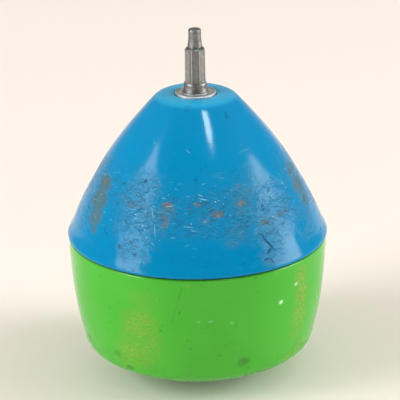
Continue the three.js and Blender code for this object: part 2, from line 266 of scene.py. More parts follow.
# ------------------------------------------------------------------ node helpers
class Nodes:
    """A small builder for shader node trees. Values are floats, tuples or output sockets."""

    def __init__(self, tree):
        self.tree = tree
        self.n = tree.nodes
        self.l = tree.links

    def put(self, socket, value):
        if value is None:
            return
        if isinstance(value, bpy.types.NodeSocket):
            self.l.new(value, socket)
        elif hasattr(socket, "default_value"):
            if hasattr(socket.default_value, "__len__") and not hasattr(value, "__len__"):
                value = (value,) * len(socket.default_value)
            if hasattr(socket.default_value, "__len__") and len(value) < len(socket.default_value):
                value = tuple(value) + (1.0,) * (len(socket.default_value) - len(value))
            socket.default_value = value

    def m(self, op, a, b=None, c=None, clamp=False):
        node = self.n.new("ShaderNodeMath")
        node.operation = op
        node.use_clamp = clamp
        for i, v in enumerate((a, b, c)):
            if v is not None:
                self.put(node.inputs[i], v)
        return node.outputs[0]

    def v(self, op, a, b=None, c=None, scale=None):
        node = self.n.new("ShaderNodeVectorMath")
        node.operation = op
        for i, v in enumerate((a, b, c)):
            if v is not None:
                self.put(node.inputs[i], v)
        if scale is not None:
            self.put(node.inputs["Scale"], scale)
        return node.outputs["Value"] if op in ("DOT_PRODUCT", "LENGTH", "DISTANCE") else node.outputs["Vector"]

    def xyz(self, x=0.0, y=0.0, z=0.0):
        node = self.n.new("ShaderNodeCombineXYZ")
        self.put(node.inputs[0], x)
        self.put(node.inputs[1], y)
        self.put(node.inputs[2], z)
        return node.outputs[0]

    def split(self, v):
        node = self.n.new("ShaderNodeSeparateXYZ")
        self.put(node.inputs[0], v)
        return node.outputs[0], node.outputs[1], node.outputs[2]

    def band(self, x, a, b, c=0.0, d=1.0):
        """Smooth step of x from a to b, giving c to d."""
        node = self.n.new("ShaderNodeMapRange")
        node.interpolation_type = "SMOOTHSTEP"
        node.clamp = True
        for i, v in enumerate((x, a, b, c, d)):
            self.put(node.inputs[i], v)
        return node.outputs[0]

    def lin(self, x, a, b, c=0.0, d=1.0):
        node = self.n.new("ShaderNodeMapRange")
        node.interpolation_type = "LINEAR"
        node.clamp = True
        for i, v in enumerate((x, a, b, c, d)):
            self.put(node.inputs[i], v)
        return node.outputs[0]

    def noise(self, vec, scale=1.0, detail=2.0, rough=0.5, distortion=0.0, w=None):
        node = self.n.new("ShaderNodeTexNoise")
        node.noise_dimensions = "3D"
        self.put(node.inputs["Vector"], vec)
        node.inputs["Scale"].default_value = scale
        node.inputs["Detail"].default_value = detail
        node.inputs["Roughness"].default_value = rough
        node.inputs["Distortion"].default_value = distortion
        return node.outputs[0]

    def noise_vec(self, vec, scale=1.0, detail=1.0):
        node = self.n.new("ShaderNodeTexNoise")
        node.noise_dimensions = "3D"
        self.put(node.inputs["Vector"], vec)
        node.inputs["Scale"].default_value = scale
        node.inputs["Detail"].default_value = detail
        return node.outputs[1]

    def cells(self, vec, scale=1.0, feature="F1", randomness=1.0):
        node = self.n.new("ShaderNodeTexVoronoi")
        node.voronoi_dimensions = "3D"
        node.feature = feature
        self.put(node.inputs["Vector"], vec)
        node.inputs["Scale"].default_value = scale
        node.inputs["Randomness"].default_value = randomness
        return node.outputs["Distance"], node.outputs.get("Color")

    def mix(self, fac, a, b, blend="MIX"):
        node = self.n.new("ShaderNodeMix")
        node.data_type = "RGBA"
        node.blend_type = blend
        node.clamp_factor = True
        self.put(node.inputs[0], fac)
        self.put(node.inputs[6], a)
        self.put(node.inputs[7], b)
        return node.outputs[2]

    def mixf(self, fac, a, b):
        node = self.n.new("ShaderNodeMix")
        node.data_type = "FLOAT"
        node.clamp_factor = True
        self.put(node.inputs[0], fac)
        self.put(node.inputs[2], a)
        self.put(node.inputs[3], b)
        return node.outputs[0]

    def bump(self, height, strength=1.0, distance=1.0, normal=None):
        node = self.n.new("ShaderNodeBump")
        node.inputs["Strength"].default_value = strength
        node.inputs["Distance"].default_value = distance
        self.put(node.inputs["Height"], height)
        if normal is not None:
            self.put(node.inputs["Normal"], normal)
        return node.outputs[0]

    def spot(self, at, u, z, ru, rz, angle=0.0):
        """Squared elliptical distance from a mark on the unrolled surface: 1 at its edge."""
        node = self.n.new("ShaderNodeMapping")
        node.vector_type = "TEXTURE"
        self.put(node.inputs["Vector"], at)
        node.inputs["Location"].default_value = (u, z, 0)
        node.inputs["Rotation"].default_value = (0, 0, angle)
        node.inputs["Scale"].default_value = (ru, rz, 1)
        return self.v("DOT_PRODUCT", node.outputs[0], node.outputs[0])


def material(name, **principled):
    """A new material and its builder. Constant values go straight on the shader's sockets."""
    mat = bpy.data.materials.new(name)
    mat.use_nodes = True
    t = Nodes(mat.node_tree)
    shader = mat.node_tree.nodes["Principled BSDF"]
    for key, value in principled.items():
        shader.inputs[key.replace("_", " ")].default_value = value
    coord = t.n.new("ShaderNodeTexCoord")
    t.mm = t.v("SCALE", coord.outputs["Object"], scale=1000.0)
    t.x, t.y, t.z = t.split(t.mm)
    t.shader = shader
    return mat, t


def srgb(r, g, b):
    def f(c):
        c = c / 255.0
        return c / 12.92 if c <= 0.04045 else ((c + 0.055) / 1.055) ** 2.4

    return (f(r), f(g), f(b), 1.0)


# ------------------------------------------------------------------ tip-side shell
SEG = 480


def belt_relief(T, R, Z, low, high, deep, seed):
    """Inward wear in millimetres: shallow, mostly horizontal gouges inside a belt, never outward."""
    arc = T / (2 * math.pi)
    tilt = lattice_noise(seed, arc * 14, Z * 0.08, 14) * 1.2
    streak = lattice_noise(seed + 1, arc * 56, (Z + tilt) * 1.25, 56)
    fine = lattice_noise(seed + 2, arc * 120, (Z + tilt) * 1.9, 120)
    patch = lattice_noise(seed + 3, arc * 22, Z * 0.22, 22) * 0.5 + 0.5
    band = smoothstep(low - 3, low + 3, Z) * (1 - smoothstep(high - 3, high + 3, Z))
    cut = np.clip(streak - 0.25, 0, 1) * 1.2 + np.clip(fine - 0.2, 0, 1) * 0.6
    return deep * band * (0.25 + 0.75 * patch) * cut


def dimples(T, R, Z, marks):
    """Inward pits: (degrees from -Y towards +X, z, half width, half height, depth), in mm."""
    deg = np.degrees(np.arctan2(np.cos(T), -np.sin(T)))
    out = np.zeros_like(R)
    for a, z, ru, rz, deep in marks:
        d = (deg - a + 180) % 360 - 180
        u = np.radians(d) * np.maximum(R, 1)
        e = (u / ru) ** 2 + ((Z - z) / rz) ** 2
        out += deep * np.exp(-e * 1.6)
    return out


BLUE_DENTS = [
    (-16.5, 51.3, 1.5, 0.8, 0.10),
    (-16.5, 47.7, 0.9, 1.3, 0.08),
    (10.8, 49.5, 1.6, 0.8, 0.10),
    (0.3, 51.7, 1.0, 0.6, 0.08),
    (24.7, 51.1, 1.5, 0.8, 0.09),
    (26.6, 54.6, 1.2, 0.6, 0.08),
    (35.9, 46.3, 1.4, 0.8, 0.10),
    (34.1, 42.0, 1.1, 1.4, 0.10),
    (33.0, 38.6, 1.8, 0.8, 0.08),
    (49.0, 46.8, 2.0, 0.9, 0.07),
    (-39.0, 50.2, 1.8, 0.8, 0.07),
    (-31.0, 50.4, 1.5, 0.7, 0.06),
    (-64.1, 48.3, 2.6, 2.4, 0.07),
    (75.2, 49.3, 3.2, 2.2, 0.08),
    (118.0, 50.6, 2.6, 1.2, 0.08),
    (151.0, 47.9, 1.8, 0.9, 0.09),
    (176.0, 51.8, 2.2, 0.8, 0.08),
    (-148.0, 49.2, 1.6, 1.0, 0.09),
    (-118.0, 52.4, 2.4, 0.9, 0.08),
    (-96.0, 46.2, 1.9, 1.1, 0.08),
]

cone_outer = curve_through(
    [
        [7.4, 71.5],
        [8.6, 71.34],
        [9.35, 71.05],
        [10.0, 70.62],
        [11.2, 69.39],
        [13.06, 67.27],
        [16.59, 63.05],
        [19.83, 58.82],
        [22.67, 54.6],
        [25.09, 50.38],
        [27.39, 46.15],
        [29.47, 41.93],
        [30.91, 38.45],
        [31.7, 37.0],
        [32.0, 36.35],
    ],
    0.34,
)
cone_lip = [
    [31.985, 36.2],
    [31.975, 36.05],
    [31.94, 35.93],
    [31.87, 35.84],
    [31.78, 35.79],
    [31.68, 35.78],
]
cone_inside = [
    [29.9, 35.78],
    [29.9, 32.9],
    [28.2, 32.9],
    [28.2, 37.2],
    [25.9, 43.2],
    [22.6, 49.4],
    [18.6, 55.4],
    [14.2, 60.9],
    [10.9, 64.4],
    [9.6, 64.9],
    [8.3, 64.6],
    [8.2, 58.6],
    [6.2, 55.2],
    [6.2, 35.7],
    [2.82, 35.7],
    [2.82, 44.6],
    [2.25, 45.1],
    [2.25, 52.2],
    [0, 53.4],
]
cone_head = [
    [0, 57.2],
    [3.3, 57.2],
    [4.05, 58.0],
    [4.05, 67.88],
    [5.03, 67.88],
    [5.03, 71.12],
    [5.1, 71.26],
    [5.24, 71.38],
    [5.45, 71.47],
    [5.7, 71.55],
    [6.0, 71.57],
    [6.5, 71.56],
    [7.0, 71.53],
]


def worn_cone(T, R, Z):
    skin = (R > 9.0) & (Z < 71.2) & (Z > 36.4)
    relief = belt_relief(T, R, Z, 43.5, 55.5, 0.10, 11) + dimples(T, R, Z, BLUE_DENTS)
    relief += 0.012 * np.clip(lattice_noise(71, T / (2 * math.pi) * 56, Z * 0.12, 56), 0, 1) * smoothstep(37, 39, Z)
    depth = np.where(skin & outer_mask(R, Z), relief, 0)
    return R - depth * 0.8, Z - depth * 0.45


def outer_mask(R, Z):
    """True on the outside of the cone, false on its inner wall."""
    zs = np.array([q[1] for q in reversed(cone_outer)])
    rs = np.array([q[0] for q in reversed(cone_outer)])
    return np.abs(R - np.interp(Z, zs, rs)) < 0.6


cone_profile = cone_head + cone_outer + cone_lip + cone_inside
cone_profile = [[min(r, BODY_R - 0.001), z] for r, z in cone_profile]
tip_shell = lathe("tip_cone", cone_profile, SEG, worn_cone)
face_out(tip_shell)

# ------------------------------------------------------------------ crown-side shell
bowl_outer = curve_through(
    [
        [31.66, 32.6],
        [31.42, 28.5],
        [31.1, 24.0],
        [30.4, 18.7],
        [29.6, 14.5],
        [28.74, 10.8],
        [28.32, 9.3],
        [27.72, 8.2],
        [26.6, 7.2],
        [25.1, 6.3],
        [20.5, 4.1],
        [17.0, 2.75],
        [13.5, 1.6],
        [10.4, 0.68],
    ],
    0.36,
)
bowl_rim = [
    [29.98, 35.46],
    [31.3, 35.46],
    [31.46, 35.43],
    [31.58, 35.37],
    [31.67, 35.27],
    [31.72, 35.14],
    [31.74, 35.0],
    [31.73, 34.6],
    [31.72, 34.2],
    [31.7, 33.8],
    [31.69, 33.4],
    [31.68, 33.0],
]
bowl_inside = [
    [10.2, 0.63],
    [10.05, 0.61],
    [9.93, 0.64],
    [9.83, 0.74],
    [9.77, 0.9],
    [9.75, 1.1],
    [9.75, 2.1],
    [4.32, 2.1],
    [4.32, 17.5],
    [2.25, 17.5],
    [2.25, 35.66],
    [6.2, 35.66],
    [6.2, 5.6],
    [7.4, 4.7],
    [13.5, 4.7],
    [17.0, 5.7],
    [20.5, 7.1],
    [24.0, 9.1],
    [26.0, 11.6],
    [27.2, 15.5],
    [28.1, 21.0],
    [28.7, 27.0],
    [29.0, 32.5],
    [29.98, 32.5],
]
GREEN_DENTS = [
    (21.5, 12.4, 1.6, 1.2, 0.09),
    (-36.3, 9.3, 1.1, 0.8, 0.08),
    (53.0, 12.2, 2.2, 0.5, 0.09),
    (-26.9, 20.0, 4.0, 6.0, 0.05),
    (52.5, 24.0, 2.2, 7.0, 0.05),
    (-67.2, 12.5, 1.0, 0.8, 0.08),
    (-42.4, 12.5, 1.1, 0.9, 0.07),
    (95.0, 13.0, 1.6, 1.0, 0.08),
    (128.0, 20.5, 2.4, 1.6, 0.05),
    (163.0, 11.0, 1.4, 0.9, 0.09),
    (-160.0, 15.5, 2.0, 1.2, 0.07),
    (-128.0, 10.4, 1.3, 0.8, 0.08),
    (-100.0, 22.0, 2.8, 3.2, 0.05),
]


def bowl_mask(R, Z):
    zs = np.array([q[1] for q in reversed(bowl_outer)])
    rs = np.array([q[0] for q in reversed(bowl_outer)])
    return (np.abs(R - np.interp(Z, zs, rs)) < 0.6) & (Z < 35.0) & (R > 10.5)


def worn_bowl(T, R, Z):
    edge = belt_relief(T, R, Z, 6.5, 11.5, 0.05, 31)
    speck = np.clip(lattice_noise(41, T / (2 * math.pi) * 150, Z * 0.8, 150) - 0.62, 0, 1) * 0.09
    relief = edge + dimples(T, R, Z, GREEN_DENTS) + speck
    depth = np.where(bowl_mask(R, Z), relief, 0)
    slope = smoothstep(4.0, 14.0, Z)
    return R - depth * (0.35 + 0.65 * slope), Z + depth * (0.93 - 0.8 * slope)


bowl_profile = bowl_rim + bowl_outer + bowl_inside
crown_shell = lathe("crown_bowl", bowl_profile, SEG, worn_bowl)
face_out(crown_shell)


# Ribs in both hollows: two crossed plates trimmed to the space between post and wall, then joined on.
def ribs(name, hollow, z0, z1):
    space = face_out(lathe(name + "_space", hollow, 96))
    for turn in (math.pi / 4, 3 * math.pi / 4):
        bm = bmesh.new()
        bmesh.ops.create_cube(bm, size=1.0)
        bm.transform(
            Matrix.Rotation(turn, 4, "Z")
            @ Matrix.Translation((0, 0, (z0 + z1) / 2 * MM))
            @ Matrix.Diagonal((60 * MM, 1.6 * MM, (z1 - z0) * MM, 1))
        )
        me = bpy.data.meshes.new(name)
        bm.to_mesh(me)
        bm.free()
        plate = bpy.data.objects.new(name, me)
        scene.collection.objects.link(plate)
        if turn < 1:
            first = plate
        else:
            boolean(first, plate, "UNION")
    boolean(first, space, "INTERSECT")
    return first


def boolean(ob, cutter, operation="DIFFERENCE"):
    mod = ob.modifiers.new("join", "BOOLEAN")
    mod.operation = operation
    mod.solver = "MANIFOLD"
    mod.object = cutter
    bpy.context.view_layer.update()
    dg = bpy.context.evaluated_depsgraph_get()
    me = bpy.data.meshes.new_from_object(ob.evaluated_get(dg))
    ob.modifiers.clear()
    ob.data = me
    bpy.data.objects.remove(cutter)
    if len(me.polygons) == 0:
        raise RuntimeError("the join left nothing of " + ob.name)
    me.polygons.foreach_set("use_smooth", [True] * len(me.polygons))
    me.set_sharp_from_angle(angle=math.radians(35))
    return ob


cone_ribs = ribs(
    "cone_ribs",
    [[5.8, 40.0], [27.45, 40.0], [27.3, 41.0], [26.4, 43.2], [23.1, 49.4], [19.1, 55.4], [14.7, 60.9], [11.1, 64.8], [5.8, 64.8]],
    36.0,
    70.0,
)
bowl_ribs = ribs(
    "bowl_ribs",
    [[5.8, 4.2], [14.0, 4.2], [20.5, 6.7], [24.4, 8.9], [26.5, 11.6], [27.7, 15.5], [28.4, 20.0], [28.6, 24.0], [5.8, 24.0]],
    0.5,
    30.0,
)
boolean(tip_shell, cone_ribs, "UNION")
boolean(crown_shell, bowl_ribs, "UNION")

# ------------------------------------------------------------------ crown cap
cap_profile = [
    [0, 0.0],
    [3.0, 0.0],
    [6.0, 0.0],
    [8.2, 0.0],
    [8.9, 0.0],
    [9.15, 0.03],
    [9.35, 0.1],
    [9.5, 0.22],
    [9.6, 0.4],
    [9.64, 0.6],
    [9.65, 0.85],
    [9.65, 2.05],
    [4.26, 2.05],
    [4.26, 6.6],
    [4.0, 7.0],
    [3.0, 7.0],
    [3.0, 2.05],
    [0, 2.05],
]
crown_cap = face_out(lathe("crown_plug", cap_profile, 192))

# ------------------------------------------------------------------ spinning tip
shaft = [
    [0, 60.4],
    [1.9, 60.4],
    [2.1, 60.46],
    [2.42, 60.85],
    [2.42, 66.82],
    [2.1, 66.82],
    [2.1, 67.48],
    [2.48, 67.48],
    [2.48, 71.93],
    [3.0, 71.93],
    [3.04, 71.96],
    [3.05, 72.02],
    [3.05, 72.2],
    [3.03, 72.3],
    [2.97, 72.5],
    [2.9, 72.75],
    [2.84, 72.95],
    [2.81, 73.1],
    [2.8, 73.3],
    [2.8, 73.75],
    [2.79, 73.9],
    [2.76, 74.0],
    [2.7, 74.16],
    [2.67, 74.25],
]
upper = [
    [2.668, 74.26],
    [2.666, 74.48],
    [2.664, 74.68],
    [2.662, 74.85],
    [2.6, 82.0],
    [2.585, 82.14],
    [2.54, 82.28],
    [2.45, 82.42],
    [2.32, 82.6],
    [2.12, 82.78],
    [1.96, 82.92],
    [1.86, 83.02],
    [1.8, 83.12],
    [1.76, 83.25],
    [1.72, 83.6],
    [1.66, 84.1],
    [1.6, 84.7],
    [1.56, 85.2],
    [1.535, 85.6],
    [1.53, 86.2],
    [1.53, 87.08],
    [1.515, 87.2],
    [1.48, 87.33],
    [1.42, 87.43],
    [1.33, 87.5],
    [1.22, 87.545],
    [1.1, 87.565],
    [0.7, 87.585],
    [0, 87.595],
]
upper = densify(upper[:5], 0.16)[:-1] + densify(upper[4:], 0.16)
lower = densify(shaft[:-1], 0.5)[:-1] + [shaft[-2], shaft[-1]]
TIP_SEG = 320
FLUTE_PHASE = math.radians(3)


def fluted_radius(T):
    """Eight shallow round-bottomed flutes with worn ridges."""
    t = (T - (-math.pi / 2 + FLUTE_PHASE)) / (2 * math.pi / 8)
    f = t - np.round(t)  # 0 at the middle of a flute, +-0.5 at a ridge
    r = 2.535 - 0.335 * (1 - (2 * f) ** 2)
    soft = 2.52
    k = 0.018
    return r - k * np.log1p(np.exp((r - soft) / k))


tip_profile = lower + [[0.5, 74.252]] + upper  # the extra row is where the flutes end on the collar
LEDGE_ROW = len(lower)


def turned_tip(T, R, Z):
    Z = Z.copy()
    R = R.copy()
    flute = fluted_radius(T[0])
    flute = np.minimum(flute, 2.53)
    for i in range(R.shape[0]):
        wider = 1.032 + 0.026 * (82.0 - Z[i, 0]) / 7.5
        if i == LEDGE_ROW:
            R[i] = np.minimum(2.668, flute * 1.058)
            Z[i] = 74.252
        elif i > LEDGE_ROW and Z[i, 0] < 83.4 and R[i, 0] > 0:
            R[i] = np.minimum(R[i], flute * wider)
    # handling marks: small dents, deepest in the flutes, and a slightly battered shoulder
    arc = T / (2 * math.pi)
    d = np.clip(lattice_noise(5, arc * 40, Z * 2.4, 40) - 0.25, 0, 1) * 0.028
    d += np.clip(lattice_noise(6, arc * 88, Z * 5.0, 88) - 0.1, 0, 1) * 0.010
    worn = smoothstep(71.9, 72.3, Z) * (1 - 0.45 * smoothstep(83.0, 83.6, Z)) * (1 - smoothstep(87.3, 87.5, Z))
    nick = np.clip(lattice_noise(7, arc * 30, Z * 1.2, 30) - 0.2, 0, 1) * 0.05 * np.exp(-(((Z - 82.5) / 0.5) ** 2))
    R = np.where(R > 0.3, R - (d + nick) * worn, R)
    return R, Z


tip = face_out(lathe("turned_tip", tip_profile, TIP_SEG, turned_tip, sharp=32.0))


def ridge_layer(ob):
    """1 on the polished ridges and rims of the tip, where a painted highlight lightens them as well as the polish; 0 in
    its flutes.
    """
    co = np.zeros(len(ob.data.vertices) * 3, np.float32)
    ob.data.vertices.foreach_get("co", co)
    co = co.reshape(-1, 3) / MM
    r, z = np.hypot(co[:, 0], co[:, 1]), co[:, 2]
    wider = 1.032 + 0.026 * (82.0 - z) / 7.5
    ridge = smoothstep(2.40, 2.50, r / wider) * smoothstep(74.3, 74.6, z) * (1 - smoothstep(82.1, 82.6, z))
    flute = (1 - smoothstep(2.2, 2.36, r / wider)) * smoothstep(74.25, 74.35, z) * (1 - smoothstep(82.0, 82.4, z))
    rim = 0.55 * np.exp(-(((z - 74.2) / 0.10) ** 2)) * (r > 2.55) + 0.25 * np.exp(-(((z - 87.4) / 0.12) ** 2))
    for name, value in (("ridge_polish_highlight", np.clip(ridge + rim, 0, 1)), ("wear_flute", flute)):
        layer = ob.data.attributes.new(name, "FLOAT", "POINT")
        layer.data.foreach_set("value", value.astype(np.float32))


ridge_layer(tip)

# ------------------------------------------------------------------ bearing rings and shield
outer_race = face_out(
    lathe(
        "race_outer",
        fillet(
            [
                [4.2, BM - 1.2],
                [4.5, BM - 1.35],
                [4.5, B0 + 0.1],
                [4.6, B0],
                [4.82, B0],
                [5.0, B0 + 0.18],
                [5.0, B1 - 0.2],
                [4.82, B1],
                [4.58, B1],
                [4.5, B1 - 0.08],
                [4.5, BM + 1.35],
                [4.2, BM + 1.2],
                [4.2, BM + 0.48],
                [4.33, BM + 0.3],
                [4.4, BM],
                [4.33, BM - 0.3],
                [4.2, BM - 0.48],
            ],
            [0, 0, 0.03, 0.04, 0.08, 0.08, 0.09, 0.07, 0.04, 0.03, 0, 0, 0, 0, 0, 0, 0],
            3,
        ),
        256,
    )
)
inner_race = face_out(
    lathe(
        "race_inner",
        fillet(
            [
                [2.5, B0 + 0.12],
                [2.62, B0],
                [3.02, B0],
                [3.1, B0 + 0.08],
                [3.1, BM - 0.48],
                [2.97, BM - 0.3],
                [2.9, BM],
                [2.97, BM + 0.3],
                [3.1, BM + 0.48],
                [3.1, B1 - 0.08],
                [3.02, B1],
                [2.62, B1],
                [2.5, B1 - 0.12],
            ],
            [0, 0.04, 0.03, 0.03, 0, 0, 0, 0, 0, 0.03, 0.03, 0.04, 0],
            3,
        ),
        224,
    )
)


def shield_ring(name, flip):
    """A pressed cover with a rolled outer edge and a shallow dished inner lip."""
    half = [
        [3.2, 0.0],
        [3.32, 0.02],
        [3.5, 0.075],
        [3.62, 0.08],
        [4.24, 0.08],
        [4.36, 0.06],
        [4.46, 0.0],
    ]
    top = [[r, B1 - 0.2 + h] for r, h in half]
    under = [[r, B1 - 0.44 + h] for r, h in half]
    outline = top + under[::-1]
    if flip:
        outline = [[r, 2 * BM - z] for r, z in outline]
    return face_out(lathe(name, outline, 224, sharp=30.0))


shield_top = shield_ring("shield_outer_side", False)
shield_low = shield_ring("shield_inner_side", True)

# Full-round balls, inside the bearing.
balls = []
for i in range(8):
    lo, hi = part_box("bearing_ball_%d" % (i + 1))
    centre = (lo + hi) / 2
    bm = bmesh.new()
    bmesh.ops.create_icosphere(bm, subdivisions=4, radius=0.0006995)
    bm.transform(Matrix.Translation(centre))
    me = bpy.data.meshes.new("ball_%d" % (i + 1))
    bm.to_mesh(me)
    bm.free()
    me.polygons.foreach_set("use_smooth", [True] * len(me.polygons))
    ob = bpy.data.objects.new("ball_%d" % (i + 1), me)
    scene.collection.objects.link(ob)
    balls.append(ob)

# ------------------------------------------------------------------ materials: blue plastic
R_UNROLL = 26.0  # the unrolled chart is angle times this radius, across height, both in mm


def cone_radius(z):
    zs = [q[1] for q in reversed(cone_outer)]
    rs = [q[0] for q in reversed(cone_outer)]
    return float(np.interp(z, zs, rs))


def bowl_radius(z):
    zs = [q[1] for q in reversed(bowl_outer)]
    rs = [q[0] for q in reversed(bowl_outer)]
    return float(np.interp(z, zs, rs))


def chart(t):
    """(angle from -Y towards +X) times R_UNROLL, and height."""
    angle = t.m("ARCTAN2", t.x, t.m("MULTIPLY", t.y, -1.0))
    return t.xyz(t.m("MULTIPLY", angle, R_UNROLL), t.z, 0.0)


def gather(t, name):
    """A wear layer kept on the mesh points, see wear_layer()."""
    node = t.n.new("ShaderNodeAttribute")
    node.attribute_type = "GEOMETRY"
    node.attribute_name = name
    return node.outputs["Fac"]


def wear_layer(ob, name, marks, radius, skin, soft=1.0, sharp=0.15):
    """Round and oval marks as a point attribute: (degrees, z, half width, half height, strength), in mm."""
    co = np.zeros(len(ob.data.vertices) * 3, np.float32)
    ob.data.vertices.foreach_get("co", co)
    co = co.reshape(-1, 3) / MM
    r = np.hypot(co[:, 0], co[:, 1])
    deg = np.degrees(np.arctan2(co[:, 0], -co[:, 1]))
    out = np.zeros(len(co), np.float32)
    for a, z, ru, rz, s in marks:
        u = np.radians((deg - a + 180) % 360 - 180) * radius(z)
        e = (u / ru) ** 2 + ((co[:, 2] - z) / rz) ** 2
        out = np.maximum(out, s * np.clip((soft - e) / (soft - sharp), 0, 1))
    out = np.where(skin(r, co[:, 2]), out, 0).astype(np.float32)
    layer = ob.data.attributes.get(name) or ob.data.attributes.new(name, "FLOAT", "POINT")
    layer.data.foreach_set("value", out)


def lines(t, at, marks, sharp=0.2):
    """Tapered scratches: (degrees, z, degrees, z, width, strength), in mm."""
    total = None
    for a0, z0, a1, z1, width, s in marks:
        u0, u1 = math.radians(a0) * R_UNROLL, math.radians(a1) * R_UNROLL
        h = math.hypot(u1 - u0, z1 - z0) / 2
        e = t.spot(at, (u0 + u1) / 2, (z0 + z1) / 2, h, width, math.atan2(z1 - z0, u1 - u0))
        w = t.lin(e, sharp, 1.0, s, 0.0)
        total = w if total is None else t.m("MAXIMUM", total, w)
    return total


def dashes(t, at, angle, length, width, shift, wide=0.30, thin=0.12, few=0.35):
    """Short straight strokes in one direction, one in each cell of a stretched grid of points."""
    node = t.n.new("ShaderNodeMapping")
    node.vector_type = "TEXTURE"
    t.put(node.inputs["Vector"], at)
    node.inputs["Location"].default_value = (shift, shift * 0.37, 0)
    node.inputs["Rotation"].default_value = (0, 0, math.radians(angle))
    node.inputs["Scale"].default_value = (length, width, 1)
    cell = t.n.new("ShaderNodeTexVoronoi")
    cell.voronoi_dimensions = "2D"
    t.put(cell.inputs["Vector"], node.outputs[0])
    cell.inputs["Scale"].default_value = 1.0
    keep = t.lin(cell.outputs["Color"], few, few + 0.3)
    return t.m("MULTIPLY", t.band(cell.outputs["Distance"], wide, thin), keep)


BLUE_DEEP = srgb(0, 125, 174)
BLUE_PALE = srgb(0, 134, 183)
BLUE_FILM = [
    (-66.0, 52.0, 4.0, 2.4, 0.70),
    (-64.5, 48.6, 4.4, 3.0, 0.80),
    (-61.0, 45.2, 3.6, 2.8, 0.72),
    (-58.5, 42.6, 2.0, 1.8, 0.50),
    (77.0, 53.5, 4.4, 2.2, 0.5),
    (75.4, 50.0, 4.4, 2.6, 0.65),
    (74.6, 46.6, 3.4, 2.2, 0.55),
    (70.0, 43.6, 2.4, 1.6, 0.35),
    (-16.0, 49.8, 3.2, 3.0, 0.35),
    (20.0, 45.2, 4.6, 3.0, 0.24),
    (16.0, 43.0, 3.4, 2.2, 0.20),
    (26.0, 51.6, 4.4, 3.2, 0.32),
    (36.0, 46.6, 2.6, 1.8, 0.35),
    (-33.0, 50.8, 4.6, 1.8, 0.28),
    (33.0, 37.6, 3.0, 1.6, 0.25),
    (10.8, 49.5, 2.4, 1.6, 0.35),
    (118.0, 50.0, 5.0, 3.0, 0.5),
    (151.0, 47.0, 4.0, 3.0, 0.45),
    (-170.0, 50.5, 5.0, 2.6, 0.4),
    (-118.0, 51.0, 4.4, 3.0, 0.5),
    (-96.0, 45.6, 3.6, 3.0, 0.45),
]
BLUE_RUB = [
    (37.0, 44.6, 6.0, 4.2, 0.95),
    (42.0, 48.5, 6.0, 3.4, 0.95),
    (36.0, 39.6, 4.4, 3.0, 0.75),
    (-32.0, 47.8, 6.0, 4.6, 0.95),
    (-33.0, 41.6, 3.6, 4.0, 0.65),
    (3.0, 52.4, 4.6, 1.8, 0.95),
    (24.0, 53.6, 5.0, 2.4, 0.85),
    (124.0, 46.0, 7.0, 4.0, 0.9),
    (178.0, 47.0, 8.0, 3.6, 0.8),
    (-142.0, 46.5, 6.0, 4.0, 0.9),
    (-100.0, 48.5, 6.0, 3.0, 0.8),
]
BLUE_CALM = [
    (-1.0, 39.6, 11.5, 5.6, 1.0),
    (-2.0, 55.6, 9.0, 2.4, 0.8),
    (50.0, 56.0, 5.0, 3.0, 0.6),
    (-52.0, 44.0, 3.4, 6.0, 0.7),
    (118.0, 41.0, 12.0, 5.0, 1.0),
    (-135.0, 40.5, 10.0, 4.5, 1.0),
    (172.0, 55.0, 8.0, 2.6, 0.8),
]
BLUE_DIRT = [
    (-67.8, 51.6, 2.6, 1.8, 0.22),
    (-64.1, 48.3, 3.2, 2.4, 0.18),
    (-66.7, 52.4, 1.5, 0.7, 0.70),
    (76.4, 52.6, 4.2, 1.2, 0.22),
    (75.2, 49.4, 4.0, 1.7, 0.26),
    (74.5, 46.5, 3.3, 1.4, 0.18),
    (-39.0, 50.2, 2.0, 0.8, 0.5),
    (-46.4, 51.3, 1.9, 0.6, 0.3),
    (-31.1, 50.4, 1.6, 0.6, 0.3),
    (-16.5, 51.3, 1.5, 0.8, 0.85),
    (-16.5, 47.7, 1.0, 1.5, 0.65),
    (-12.9, 50.6, 0.8, 0.6, 0.4),
    (0.3, 51.7, 1.0, 0.5, 0.75),
    (-4.7, 50.9, 1.4, 0.4, 0.3),
    (10.8, 49.5, 1.7, 0.8, 0.75),
    (4.2, 48.2, 1.9, 0.8, 0.35),
    (24.7, 51.1, 1.5, 0.8, 0.75),
    (26.6, 54.6, 1.3, 0.5, 0.5),
    (33.5, 53.7, 1.6, 0.6, 0.35),
    (23.0, 49.3, 1.5, 1.0, 0.35),
    (35.9, 46.3, 1.4, 0.7, 0.65),
    (49.2, 46.9, 2.6, 1.0, 0.4),
    (19.8, 45.0, 3.0, 1.9, 0.18),
    (33.3, 37.5, 2.7, 1.2, 0.25),
    (16.6, 43.3, 2.4, 1.5, 0.28),
    (-24.9, 48.2, 3.6, 2.5, 0.22),
    (118.0, 50.6, 3.4, 1.6, 0.6),
    (151.0, 47.9, 2.4, 1.3, 0.6),
    (176.0, 51.8, 3.0, 1.0, 0.55),
    (-148.0, 49.2, 2.2, 1.4, 0.65),
    (-118.0, 52.4, 3.0, 1.2, 0.5),
    (-96.0, 46.2, 2.6, 1.6, 0.55),
]
